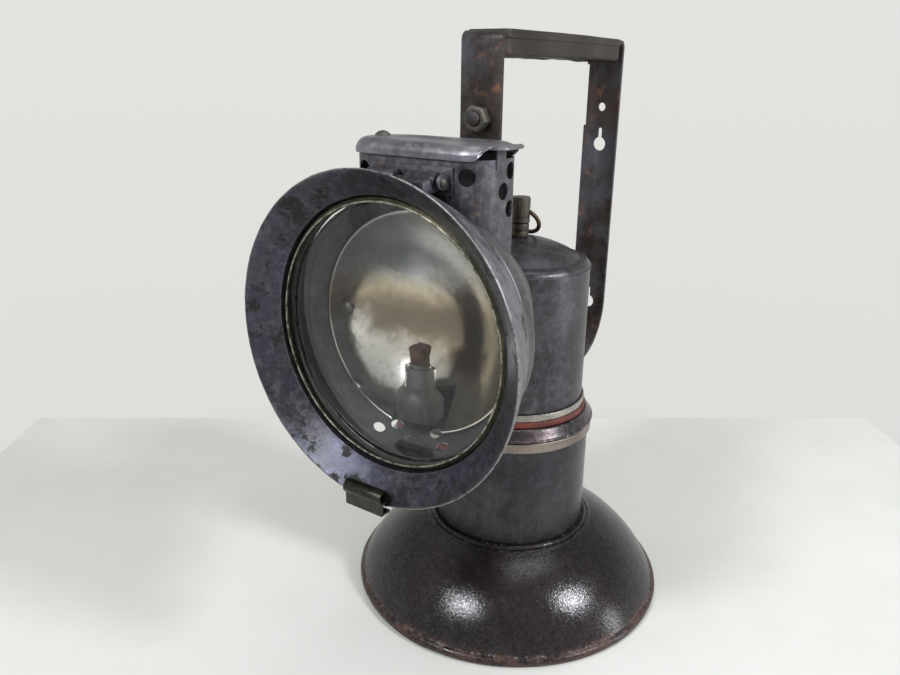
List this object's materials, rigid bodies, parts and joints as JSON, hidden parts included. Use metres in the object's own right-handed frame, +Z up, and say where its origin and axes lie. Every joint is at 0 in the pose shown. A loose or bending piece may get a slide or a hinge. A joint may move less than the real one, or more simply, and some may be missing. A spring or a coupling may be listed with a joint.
{
  "type": "carbide hand lamp",
  "caption": "Free-standing carbide hand lamp: belled foot, screw-on carbide container, water tank with drip valve, flared glass door on a vented head, and a strap handle with keyholes.",
  "frame": {"origin": "centre of the ring that the foot stands on, on the axis of container and tank", "axes": "+Z up the tank's axis, -Y the way the lamp shines, the handle lies in the YZ plane"},
  "size_m": [0.165, 0.2118, 0.283],
  "materials": {
    "foot_iron": "black-brown japanned pressed iron, satin, rusty rim",
    "rim_wire": "plain wire",
    "container_steel": "dark blue-grey, worn",
    "band_brass": "dull yellow-grey",
    "collar_plate": "worn nickel plate",
    "gasket_rubber": "brick red, matt",
    "ring_plate": "worn nickel plate",
    "tank_steel": "dark grey, tarnished plate",
    "valve_brass": "dark bronze patina",
    "inner_brass": "dull brass",
    "pull_wire": "brown patina",
    "burner_metal": "sooty grey",
    "burner_stone": "scorched steatite",
    "head_steel": "lead grey, worn plate",
    "reflector_silver": "silvered, yellow tarnish",
    "small_steel": "dull fastener",
    "chimney_steel": "grey, rust patches",
    "lid_steel": "light grey, knocked",
    "door_steel": "lead grey with blue bloom and chipped edges",
    "door_ring": "olive brass",
    "lens_glass": "clear, slightly domed",
    "seal_felt": "dark",
    "catch_steel": "dark spring steel",
    "strap_iron": "flat iron, rust and grey patches",
    "grip_sheet": "brown-grey sheet"
  },
  "bodies": {
    "base": {"foot_skirt": "foot_iron", "foot_rim_wire": "rim_wire", "foot_bead": "foot_iron", "carbide_container": "container_steel", "container_band": "band_brass", "container_collar": "collar_plate"},
    "seal": {"sealing_gasket": "gasket_rubber"},
    "upper": {"tank_ring": "ring_plate", "tank_floor": "tank_steel", "tank_shell": "tank_steel", "tank_dome": "tank_steel", "valve_gland": "valve_brass", "drip_tube": "inner_brass", "gas_pipe": "inner_brass", "burner_holder": "burner_metal", "burner_tips": "burner_stone", "head_drum": "head_steel", "head_back": "head_steel", "reflector": "reflector_silver", "reflector_posts": "small_steel", "reflector_screws": "small_steel", "head_rivets": "small_steel", "chimney_box": "chimney_steel", "chimney_lid": "lid_steel", "lid_rivets": "small_steel", "hinge_bracket": "chimney_steel", "hinge_pin": "small_steel", "handle_strap": "strap_iron", "handle_grip": "grip_sheet", "handle_rivets": "strap_iron", "strap_bolt": "strap_iron", "strap_nut": "small_steel"},
    "door": {"bezel_body": "door_steel", "bezel_knuckles": "door_steel", "glass_ring": "door_ring", "glass_pane": "lens_glass", "glass_seal": "seal_felt", "glass_clip": "small_steel", "catch_ears": "door_steel", "catch_pin": "small_steel"},
    "catch": {"catch_lever": "catch_steel"},
    "needle": {"valve_spindle": "inner_brass"},
    "knob": {"valve_knob": "valve_brass"},
    "ring": {"pull_ring": "pull_wire"}
  },
  "joints": [
    {"name": "container_turn", "type": "hinge", "parent": "base", "child": "seal", "pos_m": [0, 0, 0.104], "axis": [0, 0, 1], "range_deg": [0, 900]},
    {"name": "thread_rise", "type": "slide", "parent": "seal", "child": "upper", "axis": [0, 0, 1], "range_m": [0, 0.01]},
    {"name": "door_hinge", "type": "hinge", "parent": "upper", "child": "door", "pos_m": [0, -0.0916, 0.227], "axis": [-1, 0, 0], "range_deg": [0, 85]},
    {"name": "catch_flex", "type": "hinge", "parent": "door", "child": "catch", "pos_m": [0, -0.1125, 0.098], "axis": [-1, 0, 0], "range_deg": [0, 8], "stiffness_Nm_per_rad": 0.2, "springref_deg": -5.73},
    {"name": "needle_rise", "type": "slide", "parent": "upper", "child": "needle", "axis": [0, 0, 1], "range_m": [0, 0.002]},
    {"name": "valve_turn", "type": "hinge", "parent": "needle", "child": "knob", "pos_m": [0, 0, 0.2], "axis": [0, 0, 1], "range_deg": [0, 720]},
    {"name": "ring_swing", "type": "hinge", "parent": "knob", "child": "ring", "pos_m": [0, 0.0023, 0.2019], "axis": [1, 0, 0], "range_deg": [0, 120]}
  ],
  "couplings": [
    {"joint": "container_turn", "follows": "thread_rise", "rad_per_m": 1570.8},
    {"joint": "valve_turn", "follows": "needle_rise", "rad_per_m": 6283.2}
  ]
}
